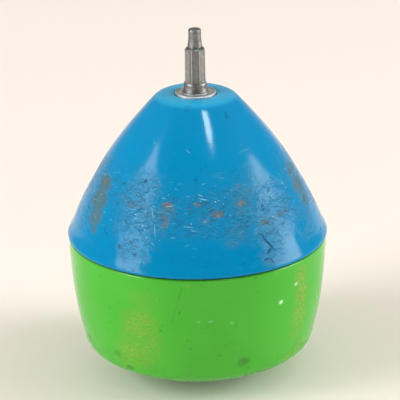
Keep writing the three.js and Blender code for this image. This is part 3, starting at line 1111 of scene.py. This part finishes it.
BLUE_CUTS = [
    (30.7, 44.6, 37.6, 39.4, 0.21, 1.0),
    (35.6, 40.8, 32.3, 39.4, 0.18, 0.95),
    (29.4, 38.3, 33.8, 38.6, 0.20, 0.85),
    (33.1, 38.8, 35.1, 37.1, 0.18, 0.75),
    (30.8, 57.9, 41.2, 58.1, 0.10, 0.5),
    (20.9, 57.8, 29.4, 58.1, 0.10, 0.35),
    (-38.3, 44.1, -35.4, 42.6, 0.11, 0.45),
    (-39.5, 41.6, -36.4, 40.3, 0.16, 0.55),
    (-31.4, 40.3, -28.0, 39.8, 0.14, 0.55),
    (-29.6, 45.3, -26.8, 44.2, 0.12, 0.5),
    (42.7, 44.5, 50.3, 44.7, 0.12, 0.5),
    (43.5, 43.3, 50.3, 42.8, 0.12, 0.45),
    (43.9, 41.6, 50.6, 41.8, 0.12, 0.5),
    (44.8, 41.0, 49.9, 41.2, 0.12, 0.4),
    (25.6, 47.0, 32.6, 46.9, 0.10, 0.4),
    (-0.3, 51.1, 5.1, 50.6, 0.10, 0.4),
    (-9.1, 50.9, -3.6, 51.1, 0.10, 0.35),
    (-42.8, 52.3, -33.5, 51.7, 0.10, 0.4),
    (-42.2, 53.6, -31.1, 53.8, 0.10, 0.35),
    (-40.8, 55.1, -29.5, 55.1, 0.10, 0.35),
    (123.0, 47.2, 131.0, 43.4, 0.14, 0.8),
    (-139.0, 44.9, -133.0, 41.2, 0.14, 0.8),
    (168.0, 49.3, 177.0, 49.9, 0.12, 0.5),
    (-104.0, 50.9, -96.5, 50.1, 0.12, 0.5),
]
BLUE_BRIGHT = [
    (-25.7, 50.7, -22.3, 47.5, 0.10, 0.5),
    (-22.3, 47.5, -20.5, 44.2, 0.10, 0.6),
    (-8.7, 62.8, -4.5, 62.0, 0.10, 0.5),
    (-39.1, 63.5, -35.0, 63.1, 0.10, 0.4),
    (32.1, 61.2, 47.1, 61.5, 0.08, 0.3),
    (0.9, 53.0, 6.5, 52.5, 0.14, 0.6),
    (0.4, 53.8, 3.8, 53.4, 0.13, 0.6),
    (-7.5, 47.1, -1.4, 47.0, 0.11, 0.5),
    (-18.2, 51.0, -13.1, 51.2, 0.11, 0.5),
    (139.0, 60.5, 146.0, 61.2, 0.09, 0.4),
]
BLUE_PITS = [
    (-33.4, 55.6, 0.45, 0.27, 1.0),
    (-48.7, 53.9, 0.40, 0.22, 0.7),
    (-28.7, 36.7, 0.33, 0.24, 0.7),
    (37.1, 49.7, 0.30, 0.34, 0.8),
    (37.1, 49.0, 0.30, 0.24, 0.6),
    (71.4, 58.2, 0.75, 0.2, 0.5),
    (72.2, 53.2, 0.8, 0.2, 0.6),
    (-0.8, 56.7, 0.40, 0.3, 0.5),
    (66.6, 59.2, 0.4, 0.2, 0.5),
    (76.1, 38.6, 0.7, 0.25, 0.6),
    (-29.2, 40.1, 0.4, 0.32, 0.8),
    (-32.6, 42.7, 0.38, 0.24, 0.7),
    (-38.6, 41.0, 0.42, 0.45, 0.7),
    (35.1, 51.2, 0.3, 0.4, 0.5),
    (7.7, 50.0, 0.26, 0.24, 0.5),
    (19.8, 38.3, 0.5, 0.22, 0.4),
    (5.6, 59.4, 0.26, 0.22, 0.4),
]


def blue_plastic():
    mat, t = material(
        "blue_plastic_worn_painted_light",
        Metallic=0.0,
        IOR=1.46,
        Specular_IOR_Level=0.17,
        Coat_Weight=0.0,
    )
    at = chart(t)
    mm = t.mm
    # stretched spaces: marks run mostly round the body
    warp = t.v("SCALE", t.v("SUBTRACT", t.noise_vec(mm, 0.16, 2.0), (0.5, 0.5, 0.5)), scale=7.0)
    warped = t.v("ADD", mm, warp)
    belt = t.m(
        "MULTIPLY",
        t.band(t.z, 40.5, 47.0),
        t.band(t.z, 60.0, 53.0),
    )
    belt_lo = t.m("MULTIPLY", t.band(t.z, 36.2, 41.0), t.band(t.z, 49.0, 43.0))
    patch = t.band(t.noise(t.v("MULTIPLY", mm, (0.6, 0.6, 1.0)), 0.19, 3.0, 0.6), 0.40, 0.62)
    patch2 = t.band(t.noise(t.v("MULTIPLY", mm, (0.5, 0.5, 1.0)), 0.33, 3.0, 0.6), 0.46, 0.66)
    worn = t.m("MULTIPLY", belt, t.mixf(0.55, 1.0, patch), clamp=True)
    worn = t.m("MAXIMUM", worn, t.m("MULTIPLY", belt_lo, t.m("MULTIPLY", patch2, 0.6)))
    worn = t.m("MULTIPLY", worn, t.lin(gather(t, "wear_calm"), 0.0, 1.0, 1.0, 0.12))
    worn = t.m("MAXIMUM", worn, gather(t, "wear_rub"))
    # short scuff strokes, four sets that lean differently, slightly bent by the warp
    bend = t.m("MULTIPLY", t.m("SUBTRACT", t.noise(mm, 0.35, 1.0), 0.5), 2.4)
    bent = t.v("ADD", at, t.xyz(0.0, bend, 0.0))
    # painted glints: thin pale strokes in the belt, standing in for bright glints along the scuffs as well as pale
    # scratch marks
    glint_strokes = t.m("MULTIPLY", dashes(t, bent, 8, 4.2, 0.8, 90.0, wide=0.18, thin=0.07, few=0.60), t.m("MAXIMUM", belt, 0.12))
    streaks = None
    for angle, length, width, shift, few, strength in (
        (4, 3.6, 0.62, 0.0, 0.32, 1.0),
        (-15, 3.0, 0.52, 17.0, 0.38, 0.9),
        (27, 3.0, 0.56, 41.0, 0.42, 0.85),
        (-52, 2.8, 0.60, 63.0, 0.58, 0.7),
    ):
        stroke = t.m("MULTIPLY", dashes(t, bent, angle, length, width, shift, few=few), strength)
        streaks = stroke if streaks is None else t.m("MAXIMUM", streaks, stroke)
    streaks = t.m("MULTIPLY", streaks, worn)
    # rare hairlines over the rest of the cone
    hair = t.band(t.noise(t.v("MULTIPLY", t.v("ADD", warped, (9.0, 2.0, 60.0)), (0.10, 0.10, 1.0)), 3.4, 1.0, 0.4), 0.665, 0.70)
    hair = t.m("MULTIPLY", hair, t.band(t.noise(mm, 0.13, 1.0), 0.52, 0.60))
    # soil: a thin film over wide patches, and grit packed in the small ones
    film = gather(t, "wear_film")
    dirt = gather(t, "wear_dirt")
    rough_noise = t.noise(t.v("MULTIPLY", mm, (0.8, 0.8, 1.3)), 2.1, 4.0, 0.66)
    # their edges are ragged: the noise decides where the soft layer ends
    grit = t.band(t.m("ADD", dirt, t.m("MULTIPLY", t.m("SUBTRACT", rough_noise, 0.5), 2.8)), 0.36, 0.78)
    grit = t.m("MULTIPLY", grit, t.band(dirt, 0.04, 0.40))
    film = t.band(t.m("ADD", film, t.m("MULTIPLY", t.m("SUBTRACT", rough_noise, 0.5), 0.9)), 0.12, 0.62)
    film = t.m("MULTIPLY", film, t.band(gather(t, "wear_film"), 0.02, 0.2))
    soil = t.m("MULTIPLY", t.m("MULTIPLY", belt, patch2), t.band(rough_noise, 0.44, 0.64))
    cuts = lines(t, at, BLUE_CUTS)
    bright = lines(t, at, BLUE_BRIGHT)
    pits = gather(t, "wear_pits")
    # painted glints: tiny near-white dots in the belt
    d, _ = t.cells(mm, 1.05)
    glint_flecks = t.m("MULTIPLY", t.band(d, 0.15, 0.09), t.m("MULTIPLY", t.m("MAXIMUM", worn, dirt), t.band(t.noise(mm, 0.55, 1.0), 0.60, 0.66)))
    # painted shade: the lip is darkened along the seam, where the gap between the shells is in shade
    lip = t.band(t.z, 36.0, 35.8)

    base = t.mix(t.noise(mm, 0.055, 2.0), BLUE_DEEP, BLUE_PALE)
    # painted light: the flat top round the bearing is made paler blue, standing in for the light it gets from above
    base = t.mix(t.band(t.z, 70.3, 71.3, 0.0, 0.40), base, srgb(60, 192, 232))
    # painted shade: the cone is darkened towards its lower edge, standing in for shade there
    base = t.mix(t.band(t.z, 48.0, 39.0, 0.0, 0.22), base, srgb(0, 114, 160))
    col = t.mix(t.m("MULTIPLY", worn, 0.22), base, srgb(58, 128, 160))
    col = t.mix(t.m("MULTIPLY", soil, 0.45), col, srgb(52, 92, 108))
    col = t.mix(t.m("MULTIPLY", t.m("MULTIPLY", worn, t.band(rough_noise, 0.50, 0.62)), 0.30), col, srgb(10, 76, 110))
    col = t.mix(t.m("MULTIPLY", dirt, 0.50), col, srgb(80, 108, 114))
    col = t.mix(t.m("MULTIPLY", film, 0.76), col, srgb(80, 106, 106))
    col = t.mix(t.m("MULTIPLY", grit, 0.66), col, srgb(128, 118, 106))
    col = t.mix(t.m("MULTIPLY", streaks, 0.56), col, srgb(14, 66, 96))
    col = t.mix(t.m("MULTIPLY", glint_strokes, 0.58), col, srgb(132, 198, 222))
    col = t.mix(t.m("MULTIPLY", t.m("MAXIMUM", cuts, t.m("MULTIPLY", hair, 0.35)), 0.9), col, srgb(6, 44, 74))
    col = t.mix(t.m("MULTIPLY", pits, 0.95), col, srgb(12, 40, 62))
    col = t.mix(t.m("MULTIPLY", bright, 0.8), col, srgb(160, 214, 236))
    col = t.mix(glint_flecks, col, srgb(214, 222, 220))
    col = t.mix(t.m("MULTIPLY", lip, 0.6), col, srgb(12, 62, 92))
    t.put(t.shader.inputs["Base Color"], col)

    rough = t.mixf(t.noise(mm, 0.09, 2.0), 0.105, 0.14)
    rough = t.m("ADD", rough, t.m("MULTIPLY", worn, 0.09))
    rough = t.m("ADD", rough, t.m("MULTIPLY", streaks, 0.12))
    rough = t.m("ADD", rough, t.m("MULTIPLY", t.m("MAXIMUM", t.m("MAXIMUM", grit, film), cuts), 0.32), clamp=True)
    t.put(t.shader.inputs["Roughness"], rough)

    grain = t.noise(mm, 0.9, 2.0, 0.5)
    h = t.m("MULTIPLY", grain, 0.010)
    h = t.m("SUBTRACT", h, t.m("MULTIPLY", streaks, 0.085))
    deep_cuts = lines(t, at, BLUE_CUTS[:4])
    h = t.m("SUBTRACT", h, t.m("MULTIPLY", t.m("MAXIMUM", deep_cuts, pits), 0.09))
    h = t.m("SUBTRACT", h, t.m("MULTIPLY", t.m("MULTIPLY", worn, rough_noise), 0.12))
    h = t.m("SUBTRACT", h, t.m("MULTIPLY", grit, 0.05))
    h = t.m("SUBTRACT", h, t.m("MULTIPLY", hair, 0.006))
    t.put(t.shader.inputs["Normal"], t.bump(t.m("MULTIPLY", h, MM), 1.0, 1.0))
    return mat


# ------------------------------------------------------------------ materials: green plastic
GREEN_DIRT = [
    (-27.5, 21.6, 5.6, 6.0, 0.80),
    (-31.1, 14.6, 6.2, 5.0, 0.78),
    (-38.0, 11.0, 4.0, 2.6, 0.45),
    (-24.5, 29.2, 4.4, 3.4, 0.35),
    (-22.5, 18.5, 3.6, 5.6, 0.6),
    (51.5, 31.3, 2.8, 3.6, 0.95),
    (52.6, 26.5, 3.0, 4.4, 1.0),
    (52.6, 21.0, 3.5, 4.6, 0.85),
    (52.6, 16.7, 3.2, 3.1, 0.55),
    (56.3, 11.1, 4.3, 2.4, 0.45),
    (48.5, 10.1, 2.5, 1.2, 0.55),
    (-76.2, 33.8, 3.6, 1.7, 0.4),
    (-4.6, 33.9, 0.6, 0.55, 0.8),
    (108.0, 19.0, 5.0, 6.0, 0.6),
    (160.0, 26.0, 4.0, 6.0, 0.55),
    (-140.0, 17.0, 6.0, 4.5, 0.6),
    (-110.0, 28.0, 3.0, 4.0, 0.5),
]
GREEN_CUTS = [
    (-47.0, 20.2, -41.5, 21.6, 0.12, 0.35),
    (13.0, 18.9, 17.0, 17.2, 0.12, 0.35),
    (31.0, 9.4, 37.5, 10.2, 0.15, 0.5),
    (-6.7, 34.4, -9.5, 28.8, 0.17, 0.5),
    (-9.5, 28.8, -12.1, 23.1, 0.15, 0.45),
    (-20.6, 30.6, -18.5, 28.3, 0.15, 0.55),
    (49.2, 11.4, 56.6, 13.1, 0.17, 0.7),
    (44.7, 10.2, 48.7, 10.9, 0.17, 0.7),
    (-58.1, 15.9, -56.3, 14.5, 0.15, 0.5),
    (6.5, 29.0, 18.5, 29.3, 0.10, 0.2),
    (131.0, 23.0, 136.0, 18.0, 0.15, 0.5),
    (-152.0, 12.0, -145.0, 14.0, 0.15, 0.6),
]
GREEN_DARK = [
    (21.5, 12.4, 1.6, 1.2, 0.55),
    (24.0, 10.4, 0.35, 0.38, 1.0),
    (20.1, 11.4, 1.1, 0.6, 0.4),
    (-8.3, 27.0, 0.26, 0.28, 0.9),
    (-17.3, 21.7, 0.26, 0.28, 0.8),
    (-42.9, 25.0, 0.36, 0.28, 0.6),
    (25.2, 34.6, 0.28, 0.22, 0.6),
    (16.4, 22.8, 0.32, 0.28, 0.6),
    (13.3, 20.8, 0.26, 0.28, 0.6),
    (9.4, 15.1, 0.4, 0.4, 0.6),
    (-5.2, 19.4, 0.34, 0.34, 0.5),
    (1.8, 34.4, 0.32, 0.26, 0.5),
    (-36.3, 9.3, 1.05, 0.75, 0.6),
    (12.1, 17.6, 0.36, 0.34, 0.5),
    (-16.2, 23.1, 0.26, 0.28, 0.6),
    (-67.2, 12.5, 1.0, 0.8, 0.5),
    (26.0, 30.7, 0.28, 0.26, 0.5),
    (3.4, 23.0, 0.26, 0.28, 0.4),
    (-42.4, 12.5, 1.1, 0.95, 0.4),
    (29.5, 12.3, 0.3, 0.36, 0.5),
    (95.0, 13.0, 0.8, 0.6, 0.6),
    (163.0, 11.0, 0.8, 0.6, 0.6),
]
GREEN_LIGHT = [
    (39.0, 26.5, 0.58, 0.48, 1.0),
    (48.1, 29.8, 0.54, 0.40, 0.8),
    (-0.1, 24.6, 0.47, 0.28, 0.20),
    (5.1, 24.7, 0.6, 0.28, 0.24),
    (14.5, 23.8, 0.5, 0.28, 0.20),
    (36.1, 34.9, 0.9, 0.28, 0.9),
    (43.0, 35.1, 0.4, 0.36, 0.8),
]


def green_plastic(name="green_plastic_worn_glints", marks=True):
    mat, t = material(name, Metallic=0.0, IOR=1.46, Specular_IOR_Level=0.38, Coat_Weight=0.0)
    at = chart(t)
    mm = t.mm
    fine = t.noise(mm, 1.6, 3.0, 0.65)
    mottle = t.noise(mm, 0.09, 3.0, 0.55)
    base = t.mix(mottle, srgb(57, 166, 35), srgb(74, 176, 46))
    if marks:
        dirt = gather(t, "wear_dirt")
        cuts = lines(t, at, GREEN_CUTS)
        dark = gather(t, "wear_pits")
        light = gather(t, "wear_light")
    else:
        rub = t.band(t.noise(mm, 0.32, 3.0, 0.6), 0.50, 0.66)
        dirt = t.m("MULTIPLY", rub, 0.7)
        cuts = t.band(t.noise(t.v("MULTIPLY", mm, (1.0, 0.12, 1.0)), 2.6, 1.0, 0.4), 0.66, 0.70)
        dark = t.band(t.noise(mm, 1.2, 2.0, 0.6), 0.66, 0.72)
        light = t.band(t.noise(t.v("ADD", mm, (9.0, 3.0, 1.0)), 1.4, 2.0, 0.6), 0.70, 0.75)
    grit = t.band(fine, 0.40, 0.62)
    stain = t.m("MULTIPLY", dirt, t.mixf(0.80, 1.0, grit))
    # the foot, where the wall turns under, is rubbed all round
    foot = t.m("MULTIPLY", t.band(t.z, 3.5, 8.0), t.band(t.z, 14.0, 9.5))
    foot = t.m("MULTIPLY", foot, t.band(t.noise(t.v("MULTIPLY", mm, (0.5, 0.5, 1.0)), 0.42, 3.0, 0.6), 0.47, 0.62))
    under = t.band(t.z, 5.0, 1.5)
    flat = t.xyz(t.x, t.y, 0.0)
    scuff = t.m("MAXIMUM", dashes(t, flat, 24, 6.0, 1.0, 3.0, few=0.35), dashes(t, flat, -48, 5.0, 0.8, 21.0, few=0.40))
    scuff = t.m("MULTIPLY", scuff, t.band(t.z, 8.5, 5.0))
    # painted glints: pale yellow dots in the stained patches
    d, _ = t.cells(mm, 1.6)
    glint_specks = t.m("MULTIPLY", t.band(d, 0.23, 0.12), t.m("MULTIPLY", dirt, t.band(t.noise(mm, 0.9, 1.0), 0.46, 0.52)))
    peppers, _ = t.cells(t.v("ADD", mm, (17.0, 5.0, 2.0)), 0.33)
    pepper = t.m("MULTIPLY", t.band(peppers, 0.085, 0.055), t.band(t.noise(mm, 0.21, 1.0), 0.50, 0.56))
    specks = t.m("MULTIPLY", dark, t.band(t.noise(mm, 2.2, 2.0, 0.6), 0.30, 0.50))

    col = t.mix(t.m("MULTIPLY", stain, 0.90), base, srgb(128, 152, 46))
    col = t.mix(t.m("MULTIPLY", t.m("MULTIPLY", dirt, t.band(fine, 0.56, 0.66)), 0.32), col, srgb(138, 134, 44))
    col = t.mix(t.m("MULTIPLY", foot, 0.22), col, srgb(70, 118, 40))
    col = t.mix(t.m("MULTIPLY", under, 0.25), col, srgb(92, 134, 62))
    col = t.mix(t.m("MULTIPLY", scuff, 0.5), col, srgb(40, 96, 32))
    col = t.mix(t.m("MULTIPLY", cuts, 0.75), col, srgb(34, 82, 26))
    col = t.mix(t.m("MULTIPLY", t.m("MAXIMUM", specks, t.m("MULTIPLY", pepper, 0.6)), 0.85), col, srgb(26, 62, 24))
    col = t.mix(glint_specks, col, srgb(228, 224, 140))
    col = t.mix(light, col, srgb(208, 240, 214))
    lip = t.band(t.z, 35.05, 35.3)
    col = t.mix(t.m("MULTIPLY", lip, t.mixf(0.4, 0.25, grit)), col, srgb(70, 112, 52))
    t.put(t.shader.inputs["Base Color"], col)

    rough = t.mixf(mottle, 0.12, 0.2)
    rough = t.m("ADD", rough, t.m("MULTIPLY", stain, 0.25))
    rough = t.m("ADD", rough, t.m("MULTIPLY", t.m("MAXIMUM", foot, under), 0.18))
    rough = t.m("ADD", rough, t.m("MULTIPLY", t.m("MAXIMUM", cuts, specks), 0.3), clamp=True)
    t.put(t.shader.inputs["Roughness"], rough)

    h = t.m("MULTIPLY", t.noise(mm, 0.8, 2.0, 0.5), 0.008)
    h = t.m("SUBTRACT", h, t.m("MULTIPLY", specks, 0.07))
    h = t.m("SUBTRACT", h, t.m("MULTIPLY", scuff, 0.05))
    h = t.m("SUBTRACT", h, t.m("MULTIPLY", t.m("MULTIPLY", dirt, fine), 0.05))
    h = t.m("SUBTRACT", h, t.m("MULTIPLY", t.m("MULTIPLY", foot, fine), 0.05))
    t.put(t.shader.inputs["Normal"], t.bump(t.m("MULTIPLY", h, MM), 1.0, 1.0))
    return mat


# ------------------------------------------------------------------ materials: metals
def worn_steel(name, dark, mid, pale, rough_lo, rough_hi, rust=0.0, turned=0.5, grime_z=None, ridges=False):
    mat, t = material(name, Metallic=1.0)
    mm = t.mm
    lathe_lines = t.noise(t.v("MULTIPLY", mm, (0.12, 0.12, 9.0)), 1.0, 3.0, 0.6)
    cloud = t.noise(mm, 0.9, 4.0, 0.62)
    pit = t.band(t.noise(t.v("ADD", mm, (4.0, 8.0, 2.0)), 2.3, 3.0, 0.6), 0.56, 0.66)
    col = t.mix(t.band(cloud, 0.34, 0.66), dark, mid)
    col = t.mix(t.m("MULTIPLY", t.band(lathe_lines, 0.48, 0.62), 0.30), col, pale)
    col = t.mix(t.m("MULTIPLY", pit, 0.55), col, dark)
    rough = t.mixf(t.band(cloud, 0.3, 0.7), rough_lo, rough_hi)
    rough = t.m("ADD", rough, t.m("MULTIPLY", pit, 0.15), clamp=True)
    if ridges:
        ridge = gather(t, "ridge_polish_highlight")
        flute = gather(t, "wear_flute")
        blotch = t.band(t.noise(t.v("MULTIPLY", mm, (1.0, 1.0, 0.6)), 2.0, 3.0, 0.6), 0.42, 0.60)
        col = t.mix(t.m("MULTIPLY", flute, t.mixf(blotch, 0.20, 0.75)), col, srgb(144, 142, 136))
        # painted highlight: ridges and rims are lightened into bright lines, partly polish
        col = t.mix(t.m("MULTIPLY", ridge, 0.75), col, srgb(182, 179, 172))
        neck = t.m("MULTIPLY", t.band(t.z, 82.72, 82.98), t.band(t.z, 83.34, 83.08))
        col = t.mix(t.m("MULTIPLY", neck, t.mixf(blotch, 0.35, 0.8)), col, srgb(52, 48, 44))
        rough = t.mixf(ridge, rough, 0.32)
    if rust:
        brown = t.band(t.noise(t.v("ADD", mm, (1.0, 5.0, 3.0)), 1.1, 3.0, 0.6), 0.50, 0.64)
        if grime_z:
            brown = t.m("MULTIPLY", brown, t.band(t.z, grime_z[1], grime_z[0]))
        col = t.mix(t.m("MULTIPLY", brown, rust), col, srgb(112, 78, 62))
    t.put(t.shader.inputs["Base Color"], col)
    t.put(t.shader.inputs["Roughness"], rough)
    h = t.m("MULTIPLY", lathe_lines, 0.006 * turned)
    h = t.m("SUBTRACT", h, t.m("MULTIPLY", pit, 0.012))
    t.put(t.shader.inputs["Normal"], t.bump(t.m("MULTIPLY", h, MM), 1.0, 1.0))
    return mat


wear_layer(tip_shell, "wear_dirt", BLUE_DIRT, cone_radius, outer_mask, 1.6, 0.0)
wear_layer(tip_shell, "wear_film", BLUE_FILM, cone_radius, outer_mask, 1.25, 0.0)
wear_layer(tip_shell, "wear_pits", BLUE_PITS, cone_radius, outer_mask, 1.3, 0.3)
wear_layer(tip_shell, "wear_calm", BLUE_CALM, cone_radius, outer_mask, 1.25, 0.4)
wear_layer(tip_shell, "wear_rub", BLUE_RUB, cone_radius, outer_mask, 1.25, 0.2)
wear_layer(crown_shell, "wear_dirt", GREEN_DIRT, bowl_radius, bowl_mask, 1.25, 0.0)
wear_layer(crown_shell, "wear_pits", GREEN_DARK, bowl_radius, bowl_mask, 1.3, 0.3)
wear_layer(crown_shell, "wear_light", GREEN_LIGHT, bowl_radius, bowl_mask, 1.3, 0.3)

BLUE = blue_plastic()
GREEN = green_plastic()
GREEN_CAP = green_plastic("green_plastic_cap", marks=False)
TIP_STEEL = worn_steel("tip_steel_worn_highlit", srgb(106, 106, 104), srgb(134, 134, 131), srgb(154, 154, 150), 0.40, 0.54, 0.5, 0.7, (72.0, 76.0), ridges=True)
BEARING_STEEL = worn_steel("bearing_steel_worn", srgb(180, 184, 184), srgb(202, 206, 207), srgb(212, 216, 218), 0.46, 0.56, 0.12, 0.15)
SHIELD_STEEL = worn_steel("shield_steel_worn", srgb(182, 184, 180), srgb(204, 206, 202), srgb(214, 216, 214), 0.36, 0.48, 0.15, 0.2)
BALL_STEEL = worn_steel("ball_steel_worn", srgb(190, 190, 194), srgb(214, 214, 216), srgb(230, 230, 232), 0.06, 0.12, 0.0, 0.05)
ZINC = worn_steel("zinc_steel_worn", srgb(150, 152, 156), srgb(182, 184, 188), srgb(206, 208, 212), 0.28, 0.4, 0.1, 0.4)
SPRING = worn_steel("spring_steel_worn", srgb(58, 56, 54), srgb(86, 84, 80), srgb(120, 116, 112), 0.35, 0.5, 0.1, 0.3)
BRASS = worn_steel("brass_worn", srgb(166, 124, 52), srgb(196, 154, 74), srgb(220, 184, 110), 0.25, 0.38, 0.0, 0.5)

place(tip_shell, "body", "blue_plastic", BLUE, "tip_side_shell")
place(crown_shell, "body", "green_plastic", GREEN, "crown_side_shell")
place(crown_cap, "body", "green_plastic", GREEN_CAP, "crown_cap")
place(tip, "tip", "tip_steel", TIP_STEEL, "spinning_tip")
place(outer_race, "body", "bearing_steel", BEARING_STEEL, "bearing_outer_race")
place(inner_race, "tip", "bearing_steel", BEARING_STEEL, "bearing_inner_race")
place(shield_top, "body", "shield_steel", SHIELD_STEEL, "bearing_shield_top")
place(shield_low, "body", "shield_steel", SHIELD_STEEL, "bearing_shield_bottom")
for i, ball in enumerate(balls):
    place(ball, "ball_%d" % (i + 1), "ball_steel", BALL_STEEL, "bearing_ball_%d" % (i + 1))

for node, mat in (
    ("tip_side_shell", BLUE),
    ("crown_side_shell", GREEN),
    ("crown_cap", GREEN_CAP),
    ("spinning_tip", TIP_STEEL),
    ("bearing_outer_race", BEARING_STEEL),
    ("bearing_inner_race", BEARING_STEEL),
    ("bearing_shield_top", SHIELD_STEEL),
    ("bearing_shield_bottom", SHIELD_STEEL),
    ("bearing_cage", SPRING),
    ("crown_screw", ZINC),
    ("screw_washer", ZINC),
    ("shim_washer", ZINC),
    ("snap_ring", SPRING),
    ("threaded_insert", BRASS),
    *[("bearing_ball_%d" % (i + 1), BALL_STEEL) for i in range(8)],
):
    for k in range(len(NODES[node].material_slots)):
        NODES[node].material_slots[k].material = mat

# ------------------------------------------------------------------ floor and light
bm = bmesh.new()
bmesh.ops.create_circle(bm, cap_ends=True, segments=96, radius=4.0)
me = bpy.data.meshes.new("floor")
bm.to_mesh(me)
bm.free()
floor = bpy.data.objects.new("floor", me)
scene.collection.objects.link(floor)
floor.location = (0, 0, -0.00002)
floor_mat, t = material("pale_floor", Roughness=0.7, Metallic=0.0)
t.shader.inputs["Specular IOR Level"].default_value = 0.15
soft = t.noise(t.v("SCALE", t.mm, scale=0.004), 1.0, 2.0)
t.put(t.shader.inputs["Base Color"], t.mix(soft, (0.91, 0.826, 0.757, 1), (0.925, 0.843, 0.777, 1)))
me.materials.append(floor_mat)

world = bpy.data.worlds.new("studio")
scene.world = world
world.use_nodes = True
w = Nodes(world.node_tree)
bg = world.node_tree.nodes["Background"]
direction = w.n.new("ShaderNodeTexCoord").outputs["Generated"]
dx, dy, dz = w.split(direction)
front = w.m("MULTIPLY", w.band(dy, 0.05, -0.55), w.m("MULTIPLY", w.band(dz, 0.02, 0.25), w.band(dz, 0.98, 0.80)))
flank = w.m("MULTIPLY", w.band(w.m("ABSOLUTE", dx), 0.40, 0.62), w.band(dz, 0.60, 0.30))
sky = w.mix(w.m("MULTIPLY", flank, 0.62), (1.0, 0.955, 0.905, 1), (0.14, 0.15, 0.15, 1))
w.put(bg.inputs["Color"], w.mix(w.m("MULTIPLY", front, 0.85), sky, (0.20, 0.19, 0.19, 1)))
bg.inputs["Strength"].default_value = 0.52


def softbox(name, azimuth, elevation, distance, width, height, radiance, colour=(1, 1, 1), diffuse=True, lean=0.0, oval=False):
    """A lamp facing the object. azimuth is from -Y towards +X; width and height in metres; lean turns it in its plane."""
    a, e = math.radians(azimuth), math.radians(elevation)
    pos = Vector((math.sin(a) * math.cos(e), -math.cos(a) * math.cos(e), math.sin(e))) * distance + Vector((0, 0, 0.05))
    data = bpy.data.lights.new(name, "AREA")
    data.shape = "ELLIPSE" if oval else "RECTANGLE"
    data.size = width
    data.size_y = height
    data.energy = radiance * math.pi * width * height * (math.pi / 4 if oval else 1)
    data.color = colour
    ob = bpy.data.objects.new(name, data)
    scene.collection.objects.link(ob)
    ob.location = pos
    facing = (Vector((0, 0, 0.05)) - pos).to_track_quat("-Z", "Y")
    ob.rotation_euler = (facing @ Quaternion((0, 0, 1), math.radians(lean))).to_euler()
    ob.visible_camera = False
    ob.visible_diffuse = diffuse
    return ob


softbox("window_left", -64, 21, 2.0, 0.76, 2.05, 10.1, (0.96, 0.99, 1.0), lean=30, oval=True)
softbox("window_right", 87, 15, 2.0, 0.96, 1.45, 10.7, (0.96, 0.99, 1.0), lean=-10, oval=True)
softbox("strip", 36.5, 62.6, 2.0, 0.25, 0.45, 50.0, (0.80, 0.97, 1.0), diffuse=False, oval=True)
for lamp in (
    softbox("key", 5, 62, 2.4, 2.4, 2.0, 0.33, (1.0, 0.985, 0.96)),
    softbox("fill_right", 80, 46, 2.4, 1.8, 1.8, 1.15, (1.0, 0.985, 0.96)),
    softbox("fill_left", -78, 42, 2.4, 1.6, 1.6, 0.6, (1.0, 0.985, 0.96)),
):
    lamp.visible_glossy = False

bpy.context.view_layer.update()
